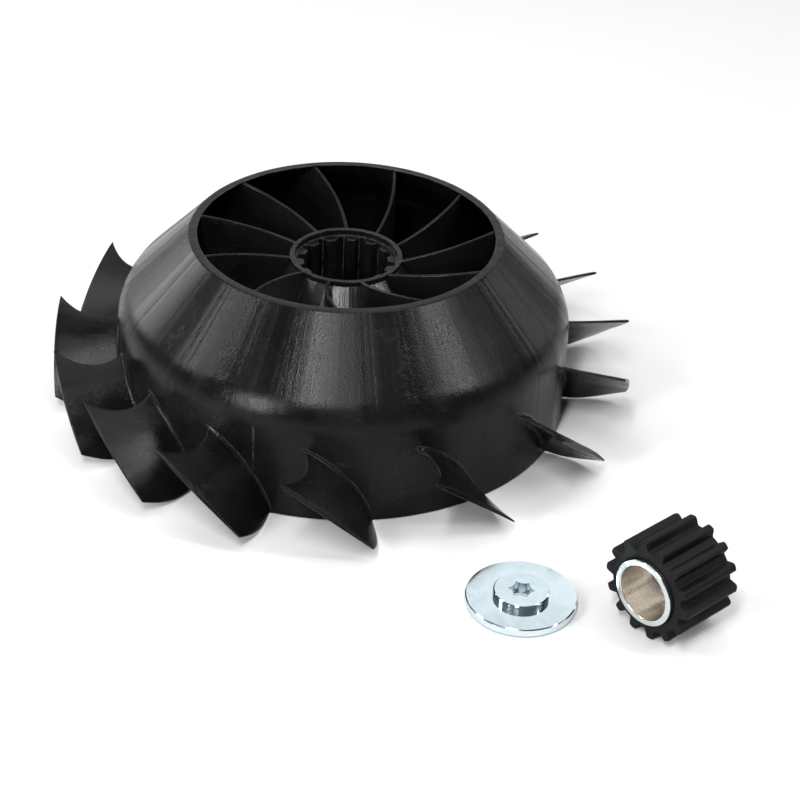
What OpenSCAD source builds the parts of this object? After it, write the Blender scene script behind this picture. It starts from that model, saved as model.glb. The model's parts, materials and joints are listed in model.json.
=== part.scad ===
// Moulded cooling-fan wheel of a small engine, with its rubber coupling bush and clamp washer.
// The wheel stands on its skirt. Its axis is +Z and the origin is on the axis, at the standing plane.
// The bush lies on its side and the washer lies flat, both on the standing plane beside the wheel.

/* [Wheel shell] */
// Height of the wheel, from the foot of the skirt to the intake rim
wheel_h = 90; // [80:1:110]
// Outer radius of the intake rim
rim_r = 75; // [68:0.5:90]
// Width of the sloping part of the shell, from rim to skirt, measured outwards
shell_run = 34.6; // [28:0.2:42]
// Slope of the shell between rim and skirt, in degrees below level
shell_slope = 45.7; // [40:0.1:50]
// Outer radius of the shoulder between slope and skirt
shoulder_r = 23; // [10:1:28]
// Wall of the shell
shell_wall = 3; // [2:0.1:4]

/* [Hub] */
// Drop of the hub ring below the intake rim
hub_drop = 12; // [6:1:16]
// Wall of the hub ring round the washer recess
hub_ring_wall = 2.25; // [1.5:0.05:4]
// Depth of the washer recess above the spline teeth
recess_depth = 3; // [2:0.1:5]
// Depth of the ledge that stops the bush
ledge_t = 3; // [2:0.1:5]

/* [Inner cone and vanes] */
// Slope of the inner cone, in degrees below level
cone_slope = 51; // [48:0.5:54]
// Wall of the inner cone
cone_wall = 3; // [2:0.1:4]
// Step from the hub ring's top down to the inner cone
cone_step = 2.5; // [1:0.1:6]
// Height of the inner cone's open lower edge
cone_foot_z = 5; // [3:0.5:8]
// Number of inner vanes, which is also the number of nodes drawn for them
vane_count = 11; // [11]
// Azimuth of the first vane where it leaves the hub, in degrees
vane_az = 190.3; // [0:0.1:360]
// Sweep of a vane from the hub to the rim's bore, in degrees
vane_sweep = 13.5; // [6:0.5:18]
// Thickness of a vane at the hub
vane_hub_t = 1.9; // [1.4:0.1:2.6]
// Thickness of a vane at the shell
vane_shell_t = 1.5; // [1.2:0.1:2.4]
// Drop of the vane tops below the rim, where they meet the shell
vane_rim_drop = 0.4; // [0.2:0.1:2]
// Height of the vanes' lower edges
vane_foot_z = 8; // [6:0.5:14]

/* [Outer blades] */
// Number of outer blades, which is also the number of nodes drawn for them
blade_count = 15; // [15]
// Azimuth of the first blade's top outer corner, in degrees
blade_az = 146; // [0:0.5:360]
// Largest shift of a blade from even spacing, in degrees
blade_shift = 5.3; // [0:0.1:6]
// Span of a blade, from the skirt outwards
blade_span = 31.9; // [24:0.1:38]
// Height of a blade's top corner at the skirt
blade_root_top = 36.9; // [30:0.1:42]
// Height of a blade's bottom corner above the standing plane at the skirt
blade_root_foot = 1; // [1:0.1:4]
// Height of a blade's top outer corner
blade_tip_top = 40; // [34:0.1:46]
// Height of a blade's bottom outer corner
blade_tip_foot = 7.5; // [4:0.1:12]
// Wrap of a blade round the skirt, in degrees
blade_root_wrap = 16.6; // [12:0.1:19]
// Wrap of a blade's outer edge, in degrees
blade_tip_wrap = 17.2; // [12:0.1:19]
// Lead of the outer edge over the root, in degrees
blade_lead = 1.9; // [0:0.1:4]
// Curl of the blade section at the skirt, in degrees of turning
blade_root_curl = 40; // [10:1:50]
// Curl of the blade section at the outer edge, in degrees of turning
blade_tip_curl = 10; // [0:1:30]
// Depth of the hollow in the blade's top edge
blade_top_hollow = 6.4; // [0:0.1:8]
// Bulge of the blade's bottom edge
blade_foot_bulge = 3.2; // [0:0.1:4]
// Greatest thickness of a blade
blade_t = 2.6; // [2:0.1:3.4]
// Thickness of a blade at its edges
blade_edge_t = 0.9; // [0.6:0.1:1.4]

/* [Coupling bush] */
// Radius of the engine shaft that the sleeve fits
shaft_r = 12.475; // [10:0.025:14]
// Running clearance between the shaft and the sleeve
shaft_gap = 0.025; // [0.01:0.005:0.05]
// Wall of the steel sleeve
sleeve_wall = 2.75; // [2:0.05:3.5]
// Length of the steel sleeve
sleeve_len = 36.5; // [32:0.5:44]
// Clearance between the sleeve and the rubber
bond_gap = 0.05; // [0.02:0.01:0.08]
// Length of the rubber
rubber_len = 32; // [28:0.5:44]
// Thickness of the rubber between the sleeve and the roots of its teeth
rubber_wall = 3.95; // [3:0.05:5]
// Height of the rubber teeth
tooth_h = 4; // [3:0.1:5]
// Number of teeth on the rubber and of grooves in the hub
tooth_count = 14; // [11:1:15]
// Width of a rubber tooth at its root
tooth_root_w = 5.2; // [4.6:0.1:6]
// Width of a rubber tooth at its crest
tooth_crest_w = 3.2; // [2.6:0.1:4]
// Clearance beside a rubber tooth in the hub's groove
flank_gap = 0.2; // [0.1:0.05:0.5]
// Clearance over the crest of a rubber tooth in the hub's groove
crest_gap = 0.7; // [0.5:0.1:2]
// Clearance between the rubber's roots and the hub's spline teeth
root_gap = 0.8; // [0.3:0.1:1.5]
// Azimuth of the hub's first groove, in degrees
groove_az = -4; // [-15:0.5:15]
// Clearance between the sleeve and the ledge that stops the rubber
ledge_gap = 1.5; // [0.5:0.1:2.5]
// Azimuth of the lying bush's axis, in degrees
bush_az = 43.3; // [0:0.1:60]
// Place of the bush along X, from the wheel's axis
bush_x = 148.6; // [145:0.1:200]
// Place of the bush along Y, from the wheel's axis
bush_y = -169.2; // [-220:0.1:-165]

/* [Clamp washer] */
// Diameter of the washer
washer_d = 48.8; // [44:0.1:60]
// Thickness of the washer's disc
washer_t = 4; // [3:0.1:5]
// Clearance between the washer and its recess in the hub
washer_gap = 0.35; // [0.2:0.05:0.6]
// Bevel of the washer's outer edges
washer_bevel = 0.5; // [0.2:0.1:1]
// Clearance between the washer's boss and the bore of the sleeve
boss_gap = 0.2; // [0.1:0.05:0.4]
// Height of the boss
boss_h = 2.9; // [2:0.1:5]
// Bevel of the boss's top edge
boss_bevel = 0.6; // [0.2:0.1:1]
// Radius of the bolt hole, a fine clearance on an M8 bolt
bolt_hole_r = 4.2; // [3.7:0.1:5]
// Depth of the six flutes of the bolt hole
flute_depth = 1.4; // [1:0.1:2.4]
// Width of a flute's floor, in degrees round the bolt hole
flute_floor = 8; // [5:1:12]
// Height of the plain hole that is left under the flutes
plain_h = 1.8; // [1:0.1:4]
// Azimuth of the first lobe between two flutes, in degrees
flute_az = 23; // [0:1:60]
// Place of the washer along X, from the wheel's axis
washer_x = 85.9; // [80:0.1:120]
// Place of the washer along Y, from the wheel's axis
washer_y = -162.4; // [-220:0.1:-160]

/* [Hidden] */
$fn = 96;
vane_names = [for (i = [1:vane_count]) str("inner_vane_", i < 10 ? "0" : "", i)];
blade_names = [for (i = [1:blade_count]) str("outer_blade_", i < 10 ? "0" : "", i)];

wheel_black = "#1b1c1d";
rubber_black = "#2a2b2b";
steel_bright = "#c9ccce";
zinc_blue = "#b9cdd6";

// Shell, as radii and heights of its section
skirt_r = rim_r + shell_run;
shoulder_steps = 10;
shoulder_z = wheel_h - shell_run * tan(shell_slope) - shoulder_r * tan((90 - shell_slope) / 2);
rim_bore_r = rim_r - shell_wall / sin(shell_slope);

// Bush and hub, one inside the other from the shaft outwards
sleeve_bore_r = shaft_r + shaft_gap;
sleeve_r = sleeve_bore_r + sleeve_wall;
rubber_root_r = sleeve_r + bond_gap + rubber_wall;
rubber_crest_r = rubber_root_r + tooth_h;
spline_tip_r = rubber_root_r + root_gap;
spline_groove_r = rubber_crest_r + crest_gap;
recess_r = washer_d / 2 + washer_gap;
hub_r = max(recess_r, spline_groove_r) + hub_ring_wall;
hub_top = wheel_h - hub_drop;
spline_top = hub_top - recess_depth;
ledge_top = spline_top - rubber_len;
tail_bore_h = ledge_top - ledge_t;

// Inner cone
cone_top = hub_top - cone_step;
cone_foot_r = hub_r + (cone_top - cone_foot_z) / tan(cone_slope);
vane_foot_r = hub_r + (cone_top - vane_foot_z) / tan(cone_slope);
vane_steps = 16;
vane_rim_z = wheel_h - vane_rim_drop;
vane_rim_r = rim_bore_r + vane_rim_drop / tan(shell_slope);

// Outer blades
blade_tip_r = skirt_r + blade_span;
blade_rings = 7;
blade_chords = 12;

// Rubber teeth: a tooth's crest is an arc, and the bush rests on two crests
tooth_pitch = 360 / tooth_count;
crest_half_angle = asin(tooth_crest_w / 2 / rubber_crest_r);
bush_z = rubber_crest_r * cos(tooth_pitch / 2 - crest_half_angle);
slack = 1;

// Six lobes stand between the flutes, just clear of the plain hole's wall below them
boss_r = sleeve_bore_r - boss_gap;
flute_count = 6;
lobe_clear = 0.15;
lobe_tip_r = bolt_hole_r + lobe_clear;
flute_r = bolt_hole_r + flute_depth;
flute_pitch = 360 / flute_count;
lobe_angle = (flute_pitch - flute_floor) / 2;
lobe_r = (flute_r * flute_r + lobe_tip_r * lobe_tip_r - 2 * flute_r * lobe_tip_r * cos(lobe_angle))
         / (2 * (flute_r * cos(lobe_angle) - lobe_tip_r));

function mix(a, b, t) = a + (b - a) * t;
function polar(r, az, z) = [r * cos(az), r * sin(az), z];

// Section of the shell at a depth below its outer surface, from the rim down to the foot
function shell_line(depth) =
    concat([[rim_r - depth / sin(shell_slope), wheel_h]],
           [for (i = [0:shoulder_steps])
               let (a = mix(90 - shell_slope, 0, i / shoulder_steps))
               [skirt_r - shoulder_r + (shoulder_r - depth) * cos(a),
                shoulder_z + (shoulder_r - depth) * sin(a)]]);

function reversed(list) = [for (i = [len(list) - 1:-1:0]) list[i]];

module shroud() {
    outer = concat(shell_line(0), [[skirt_r, 0]]);
    inner = concat(shell_line(shell_wall), [[skirt_r - shell_wall, 0]]);
    color(wheel_black) rotate_extrude() polygon(concat(outer, reversed(inner)));
}

// A rubber tooth, or with a gap round it the groove that takes it
module tooth_outline(gap, reach) {
    rise = (tooth_root_w - tooth_crest_w) / tooth_h / 2;
    low_r = rubber_root_r - slack;
    polygon([[low_r, -tooth_root_w / 2 - gap - rise * slack],
             [reach, -tooth_crest_w / 2 - gap + rise * (reach - rubber_crest_r)],
             [reach, tooth_crest_w / 2 + gap - rise * (reach - rubber_crest_r)],
             [low_r, tooth_root_w / 2 + gap + rise * slack]]);
}

module spline_socket() {
    difference() {
        circle(r = spline_groove_r);
        difference() {
            circle(r = spline_groove_r + slack);
            circle(r = spline_tip_r);
            for (i = [0:tooth_count - 1])
                rotate(groove_az + tooth_pitch * i) tooth_outline(flank_gap, spline_groove_r + slack);
        }
    }
}

module hub() {
    color(wheel_black) difference() {
        cylinder(r = hub_r, h = hub_top);
        translate([0, 0, spline_top]) cylinder(r = recess_r, h = recess_depth + slack);
        translate([0, 0, ledge_top]) linear_extrude(height = hub_top - ledge_top) spline_socket();
        translate([0, 0, -slack]) cylinder(r = sleeve_r + ledge_gap, h = hub_top);
        translate([0, 0, -slack]) cylinder(r = spline_groove_r, h = tail_bore_h + slack);
    }
}

module inner_cone() {
    run = cone_wall / sin(cone_slope);
    drop = cone_wall / cos(cone_slope);
    color(wheel_black) rotate_extrude()
        polygon([[hub_r, cone_top], [cone_foot_r, cone_foot_z], [cone_foot_r - run, cone_foot_z],
                 [hub_r, cone_top - drop]]);
}

// Half plane section of the space that the vanes cross, between cone, shell and open top
module vane_section() {
    shell = shell_line(shell_wall);
    shell_below = [for (i = [1:len(shell) - 1]) shell[i]];
    polygon(concat([[hub_r, cone_top], [hub_r, hub_top], [vane_rim_r, vane_rim_z]], shell_below,
                   [[skirt_r - shell_wall, vane_foot_z], [vane_foot_r, vane_foot_z]]));
}

function vane_turn(r) = vane_sweep * (r - hub_r) / (rim_bore_r - hub_r);
function vane_half_t(r) = mix(vane_hub_t, vane_shell_t, (r - hub_r) / (skirt_r - hub_r)) / 2;

// One side of a vane seen from above, as a spiral in which azimuth grows evenly with radius
function vane_side(side) =
    [for (i = [0:vane_steps])
        let (r = mix(hub_r - slack, skirt_r, i / vane_steps),
             a = vane_turn(r),
             twist = atan(r * (vane_turn(r + 1) - vane_turn(r)) * PI / 180))
        [r * cos(a) - side * vane_half_t(r) * sin(a + twist),
         r * sin(a) + side * vane_half_t(r) * cos(a + twist)]];

module inner_vane(index) {
    color(wheel_black) intersection() {
        rotate_extrude() vane_section();
        rotate(vane_az + index * 360 / vane_count)
            linear_extrude(height = wheel_h) polygon(concat(vane_side(1), reversed(vane_side(-1))));
    }
}

// Blades are shifted from even spacing in two waves round the wheel, which breaks up their hum
function blade_start(index) =
    blade_az + index * 360 / blade_count + blade_shift * cos(2 * 360 / blade_count * (index - 0.6));

// Point of a blade's mean surface: u runs from skirt to tip, s from top edge to bottom edge
function curl_at(u) = mix(blade_root_curl, blade_tip_curl, u);
function chord_rise(u) = mix(blade_root_top - blade_root_foot, blade_tip_top - blade_tip_foot, u);
function chord_wrap(u) = mix(blade_root_wrap, blade_tip_wrap, u);
function chord_run(u) = chord_wrap(u) * PI / 180 * mix(skirt_r, blade_tip_r, u);
function chord_slope(u) = atan(chord_rise(u) / chord_run(u));
function chord_len(u) = norm([chord_rise(u), chord_run(u)]);
function edge_bow(u, s) = mix(blade_top_hollow, blade_foot_bulge, s) * 4 * u * (1 - u) / chord_len(u);
function along(u, s) = s + edge_bow(u, s);
function slope_at(u, s) = chord_slope(u) + curl_at(u) * (along(u, s) - 0.5);

// Run and fall of an arc that turns by the curl over the chord, as shares of the chord
function arc_run(u, s) = let (c = curl_at(u), a = chord_slope(u) - c / 2)
    (sin(a + c * along(u, s)) - sin(a)) / (2 * sin(c / 2));
function arc_fall(u, s) = let (c = curl_at(u), a = chord_slope(u) - c / 2)
    (cos(a) - cos(a + c * along(u, s))) / (2 * sin(c / 2));

// Half thickness: an aerofoil that is fullest near its first third
function half_t(s) = (blade_edge_t + (blade_t - blade_edge_t) * sin(180 * pow(s, 0.7))) / 2;

function blade_point(u, s, side) =
    let (r = mix(skirt_r, blade_tip_r, u),
         tilt = slope_at(u, s),
         run = arc_run(u, s) * chord_len(u) + side * half_t(s) * sin(tilt),
         fall = arc_fall(u, s) * chord_len(u) - side * half_t(s) * cos(tilt),
         top = mix(blade_root_top, blade_tip_top, u),
         az = blade_lead * (1 - u) + run * 180 / PI / r)
    polar(r, az, top - fall);

// Points round one section, down the upper side and back up the lower side
function blade_ring(u) =
    concat([for (j = [0:blade_chords]) blade_point(u, j / blade_chords, 1)],
           [for (j = [blade_chords:-1:0]) blade_point(u, j / blade_chords, -1)]);

module outer_blade(index) {
    around = 2 * (blade_chords + 1);
    points = [for (i = [0:blade_rings]) each blade_ring(i / blade_rings)];
    last = blade_rings * around;
    skin = [for (i = [0:blade_rings - 1], j = [0:around - 1])
               let (a = i * around + j, b = i * around + (j + 1) % around)
               each [[a, b, a + around], [b, b + around, a + around]]];
    root_cap = [for (j = [0:blade_chords - 1])
                   let (low = around - 1 - j) each [[j, low, j + 1], [j + 1, low, low - 1]]];
    tip_cap = [for (f = root_cap) [last + f[0], last + f[2], last + f[1]]];
    color(wheel_black) rotate(blade_start(index))
        polyhedron(points, concat(skin, root_cap, tip_cap), convexity = 4);
}

// Half section of the washer, from its bolt hole outwards
module washer_section() {
    disc_r = washer_d / 2;
    top = washer_t + boss_h;
    polygon([[bolt_hole_r, 0], [disc_r - washer_bevel, 0], [disc_r, washer_bevel],
             [disc_r, washer_t - washer_bevel], [disc_r - washer_bevel, washer_t],
             [boss_r, washer_t], [boss_r, top - boss_bevel], [boss_r - boss_bevel, top],
             [bolt_hole_r, top]]);
}

module flutes() {
    difference() {
        circle(r = flute_r);
        for (i = [0:flute_count - 1])
            rotate(flute_az + flute_pitch * i) translate([lobe_tip_r + lobe_r, 0]) circle(r = lobe_r);
    }
}

module clamp_washer() {
    color(zinc_blue) translate([washer_x, washer_y, 0]) difference() {
        rotate_extrude() washer_section();
        translate([0, 0, plain_h]) linear_extrude(height = washer_t + boss_h - plain_h + slack) flutes();
    }
}

// The bush stands on its end here, with its axis on +Z and its middle at the origin
module laid_down() {
    translate([bush_x, bush_y, bush_z]) rotate([0, 90, bush_az]) children();
}

module bush_sleeve() {
    bevel = sleeve_wall / 5;
    half = sleeve_len / 2;
    color(steel_bright) laid_down() rotate_extrude()
        polygon([[sleeve_bore_r, -half], [sleeve_r - bevel, -half], [sleeve_r, bevel - half],
                 [sleeve_r, half - bevel], [sleeve_r - bevel, half], [sleeve_bore_r, half]]);
}

module bush_rubber() {
    color(rubber_black) laid_down() linear_extrude(height = rubber_len, center = true) difference() {
        union() {
            circle(r = rubber_root_r);
            intersection() {
                circle(r = rubber_crest_r);
                for (i = [0:tooth_count - 1])
                    rotate(tooth_pitch * (i + 0.5)) tooth_outline(0, rubber_crest_r + slack);
            }
        }
        circle(r = sleeve_r + bond_gap);
    }
}

shroud();
hub();
inner_cone();
for (i = [0:vane_count - 1]) inner_vane(i);
for (i = [0:blade_count - 1]) outer_blade(i);
clamp_washer();
bush_sleeve();
bush_rubber();
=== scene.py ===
"""A small engine's cooling-fan wheel, laid out with its coupling bush and clamp washer.

The wheel stands on its skirt on a pale floor. Beside it the toothed rubber bush lies on its
side, with the bore of its steel sleeve open, and the clamp washer lies with its boss up.
Every length is in metres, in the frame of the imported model.
"""

import json
import logging
import math
from dataclasses import dataclass, field
from enum import Enum
from typing import Callable, Iterable, Sequence

import bpy
import numpy as np
from mathutils import Matrix, Vector


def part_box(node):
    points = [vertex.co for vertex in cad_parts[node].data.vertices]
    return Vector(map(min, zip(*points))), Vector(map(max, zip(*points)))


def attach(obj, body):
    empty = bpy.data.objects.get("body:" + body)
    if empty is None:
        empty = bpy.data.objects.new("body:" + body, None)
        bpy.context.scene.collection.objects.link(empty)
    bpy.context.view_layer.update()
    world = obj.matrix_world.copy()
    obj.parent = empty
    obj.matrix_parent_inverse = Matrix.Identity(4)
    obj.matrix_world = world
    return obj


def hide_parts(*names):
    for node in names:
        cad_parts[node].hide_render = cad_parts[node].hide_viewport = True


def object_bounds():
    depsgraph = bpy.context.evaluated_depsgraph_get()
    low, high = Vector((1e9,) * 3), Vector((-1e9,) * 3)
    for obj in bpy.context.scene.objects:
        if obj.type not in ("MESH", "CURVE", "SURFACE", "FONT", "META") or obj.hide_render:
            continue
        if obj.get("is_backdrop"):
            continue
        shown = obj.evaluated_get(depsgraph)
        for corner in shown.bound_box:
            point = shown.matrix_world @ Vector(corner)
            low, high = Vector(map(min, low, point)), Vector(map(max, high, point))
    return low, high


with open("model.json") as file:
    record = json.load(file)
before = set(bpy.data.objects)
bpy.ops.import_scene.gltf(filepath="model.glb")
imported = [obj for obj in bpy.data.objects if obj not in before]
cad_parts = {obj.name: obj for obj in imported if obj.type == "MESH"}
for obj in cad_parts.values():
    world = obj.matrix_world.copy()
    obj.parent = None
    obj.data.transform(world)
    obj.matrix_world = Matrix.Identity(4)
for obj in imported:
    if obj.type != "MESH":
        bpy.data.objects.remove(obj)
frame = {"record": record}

log = logging.getLogger("fan_wheel")

FULL_TURN = 2.0 * math.pi
MM = 0.001
Point = tuple[float, float, float]
Outline = Sequence[tuple[float, float]]


class Body(Enum):
    """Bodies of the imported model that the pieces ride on."""

    WHEEL = "fan_wheel"
    WASHER = "washer"
    SLEEVE = "sleeve"
    RUBBER = "rubber"


class Slot(Enum):
    """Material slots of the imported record."""

    PLASTIC = "wheel_plastic"
    ZINC = "zinc_plate"
    STEEL = "bright_steel"
    RUBBER = "black_rubber"


def mix(low: float, high: float, share: float) -> float:
    """Returns the value that lies at a share of the way from low to high."""
    return low + (high - low) * share


def clamp01(value: float) -> float:
    """Returns the value held between nought and one."""
    return min(1.0, max(0.0, value))


# ---------------------------------------------------------------- modelling by operators


def deselect() -> None:
    """Leaves edit mode and clears the selection, so an operator acts on one piece only."""
    if bpy.context.object and bpy.context.object.mode != "OBJECT":
        bpy.ops.object.mode_set(mode="OBJECT")
    bpy.ops.object.select_all(action="DESELECT")


def focus(piece: bpy.types.Object) -> None:
    """Makes one piece the only selected and active one."""
    deselect()
    piece.select_set(True)
    bpy.context.view_layer.objects.active = piece


def named(name: str) -> bpy.types.Object:
    """Names the piece that was just added, with its mesh, and returns it."""
    piece = bpy.context.object
    piece.name = name
    piece.data.name = name
    return piece


def settle(piece: bpy.types.Object) -> None:
    """Puts the piece's place, turn and scale into its mesh."""
    focus(piece)
    bpy.ops.object.transform_apply(location=True, rotation=True, scale=True)


def close_seams(piece: bpy.types.Object, reach: float = 1e-6) -> None:
    """Merges doubled points and turns all faces outwards.

    Args:
        piece: The piece, a closed skin once its doubles are merged.
        reach: Distance within which points count as doubled.
    """
    focus(piece)
    bpy.ops.object.mode_set(mode="EDIT")
    bpy.ops.mesh.select_all(action="SELECT")
    bpy.ops.mesh.remove_doubles(threshold=reach)
    bpy.ops.mesh.normals_make_consistent(inside=False)
    bpy.ops.object.mode_set(mode="OBJECT")


def apply_all(piece: bpy.types.Object) -> None:
    """Applies every modifier of the piece, in order."""
    focus(piece)
    for name in [modifier.name for modifier in piece.modifiers]:
        bpy.ops.object.modifier_apply(modifier=name)


def round_edges(piece: bpy.types.Object, width: float, segments: int = 3,
                angle: float = math.radians(32)) -> bpy.types.Object:
    """Rounds the sharp edges of a piece with a bevel and smooths its shading.

    Args:
        piece: The piece to round.
        width: Width of the rounding.
        segments: Number of faces across the rounding.
        angle: Least turn between two faces that counts as a sharp edge.

    Returns:
        The same piece.
    """
    bevel = piece.modifiers.new("rounding", "BEVEL")
    bevel.width = width
    bevel.segments = segments
    bevel.limit_method = "ANGLE"
    bevel.angle_limit = angle
    bevel.harden_normals = False
    apply_all(piece)
    smooth(piece)
    return piece


def smooth(piece: bpy.types.Object, angle: float = math.radians(38)) -> None:
    """Shades the piece smooth, except across edges sharper than the angle.

    The normals are weighted by face area, so wide flat faces stay flat beside a rounding.

    Args:
        piece: The piece to shade.
        angle: Least turn between two faces that stays sharp.
    """
    focus(piece)
    bpy.ops.object.shade_smooth_by_angle(angle=angle)
    weighted = piece.modifiers.new("weighted", "WEIGHTED_NORMAL")
    weighted.keep_sharp = True
    weighted.mode = "FACE_AREA"
    weighted.weight = 90
    apply_all(piece)


def cut(piece: bpy.types.Object, cutter: bpy.types.Object) -> None:
    """Cuts one piece out of another by a boolean and discards the cutter.

    Args:
        piece: The piece that stays.
        cutter: The piece that is used up.
    """
    boolean = piece.modifiers.new("cut", "BOOLEAN")
    boolean.operation = "DIFFERENCE"
    boolean.solver = "EXACT"
    boolean.object = cutter
    apply_all(piece)
    bpy.data.objects.remove(cutter, do_unlink=True)


def turned(name: str, outline: Outline, steps: int = 192) -> bpy.types.Object:
    """Turns a closed outline round the vertical axis, as on a lathe.

    Args:
        name: Name of the piece.
        outline: Radius and height of each corner, in order round the section.
        steps: Number of steps in the full turn.

    Returns:
        The turned piece, closed and with its faces outwards.
    """
    deselect()
    first = outline[0]
    bpy.ops.mesh.primitive_plane_add(size=MM, location=(first[0], 0.0, first[1]))
    piece = named(name)
    settle(piece)
    bpy.ops.object.mode_set(mode="EDIT")
    bpy.ops.mesh.select_all(action="SELECT")
    bpy.ops.mesh.merge(type="CENTER")
    for (old_r, old_z), (new_r, new_z) in zip(outline, outline[1:]):
        bpy.ops.mesh.extrude_vertices_move(
            TRANSFORM_OT_translate={"value": (new_r - old_r, 0.0, new_z - old_z)})
    bpy.ops.object.mode_set(mode="OBJECT")
    for vertex in piece.data.vertices:
        vertex.select = vertex.index in (0, len(outline) - 1)
    bpy.ops.object.mode_set(mode="EDIT")
    bpy.ops.mesh.edge_face_add()
    bpy.ops.mesh.select_all(action="SELECT")
    bpy.ops.mesh.spin(steps=steps, angle=FULL_TURN, center=(0.0, 0.0, 0.0), axis=(0.0, 0.0, 1.0))
    bpy.ops.object.mode_set(mode="OBJECT")
    close_seams(piece)
    return piece


def wrapped(name: str, around: int, along: int, place: Callable[[int, int], Point],
            ) -> bpy.types.Object:
    """Wraps a grid into a closed skin: a tube whose two ends are capped.

    A swept skin that curls and tapers has no operator of its own, so the grid's points are
    placed by formula, and operators then close it.

    Args:
        name: Name of the piece.
        around: Number of points round the tube.
        along: Number of rings along the tube.
        place: Gives the point for an index round and an index along.

    Returns:
        The closed piece.
    """
    deselect()
    bpy.ops.mesh.primitive_grid_add(x_subdivisions=around, y_subdivisions=along - 1, size=1.0)
    piece = named(name)
    for index, vertex in enumerate(piece.data.vertices):
        ring, step = divmod(index, around + 1)
        vertex.co = place(step % around, ring)
    bpy.ops.object.mode_set(mode="EDIT")
    bpy.ops.mesh.select_all(action="SELECT")
    bpy.ops.mesh.remove_doubles(threshold=1e-7)
    bpy.ops.mesh.select_all(action="DESELECT")
    bpy.ops.mesh.select_non_manifold(extend=False)
    bpy.ops.mesh.fill_holes(sides=0)
    bpy.ops.object.mode_set(mode="OBJECT")
    close_seams(piece, 1e-7)
    return piece


def copy_turned(piece: bpy.types.Object, name: str, angle: float) -> bpy.types.Object:
    """Copies a piece with its own mesh and turns the copy about the vertical axis.

    Args:
        piece: The piece to copy.
        name: Name of the copy.
        angle: Turn of the copy.

    Returns:
        The copy.
    """
    focus(piece)
    bpy.ops.object.duplicate(linked=False)
    twin = named(name)
    twin.rotation_euler = (0.0, 0.0, angle)
    settle(twin)
    return twin


def joined(pieces: Sequence[bpy.types.Object], name: str) -> bpy.types.Object:
    """Joins pieces into the first one and returns it under a new name."""
    focus(pieces[0])
    for piece in pieces[1:]:
        piece.select_set(True)
    bpy.ops.object.join()
    return named(name)


def box_bearing(piece: bpy.types.Object, node: str) -> float:
    """Finds the turn about the vertical axis that brings a piece's box onto a node's box.

    Args:
        piece: The piece, modelled at azimuth nought.
        node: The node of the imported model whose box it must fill.

    Returns:
        The turn, found by narrowing steps round the azimuth of the box's middle.
    """
    low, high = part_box(node)
    goal = np.array([low[0], low[1], high[0], high[1]])
    points = np.array([vertex.co[:2] for vertex in piece.data.vertices])

    def miss(turn: float) -> float:
        c, s = math.cos(turn), math.sin(turn)
        laid = points @ np.array([[c, s], [-s, c]])
        return float(np.abs(np.concatenate([laid.min(axis=0), laid.max(axis=0)]) - goal).sum())

    best = math.atan2(low[1] + high[1], low[0] + high[0]) - math.atan2(
        *(points.min(axis=0) + points.max(axis=0))[::-1])
    step = math.radians(8.0)
    while step > math.radians(0.002):
        tries = [best + step * share for share in (-1.0, -0.5, 0.0, 0.5, 1.0)]
        best = min(tries, key=miss)
        step *= 0.6
    return best


def row_of(first: bpy.types.Object, name: str, node: str, count: int) -> list[bpy.types.Object]:
    """Smooths a piece and copies it to the azimuth of each of its numbered nodes.

    Args:
        first: The piece, modelled at azimuth nought and used up.
        name: Start of the copies' names.
        node: Start of the nodes' names.
        count: Number of copies.

    Returns:
        The copies, in order.
    """
    smooth(first, math.radians(50))
    row = [copy_turned(first, f"{name}_{index:02d}", box_bearing(first, f"{node}_{index:02d}"))
           for index in range(1, count + 1)]
    bpy.data.objects.remove(first, do_unlink=True)
    return row


def in_body(piece: bpy.types.Object, body: Body, slot: Slot, *nodes: str) -> None:
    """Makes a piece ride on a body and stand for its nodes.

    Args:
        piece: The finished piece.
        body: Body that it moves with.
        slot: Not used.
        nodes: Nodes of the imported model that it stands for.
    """
    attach(piece, body.value)
    if nodes:
        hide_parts(*nodes)
    log.info("%s: %d faces", piece.name, len(piece.data.polygons))


# ---------------------------------------------------------------- shader effects


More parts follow.
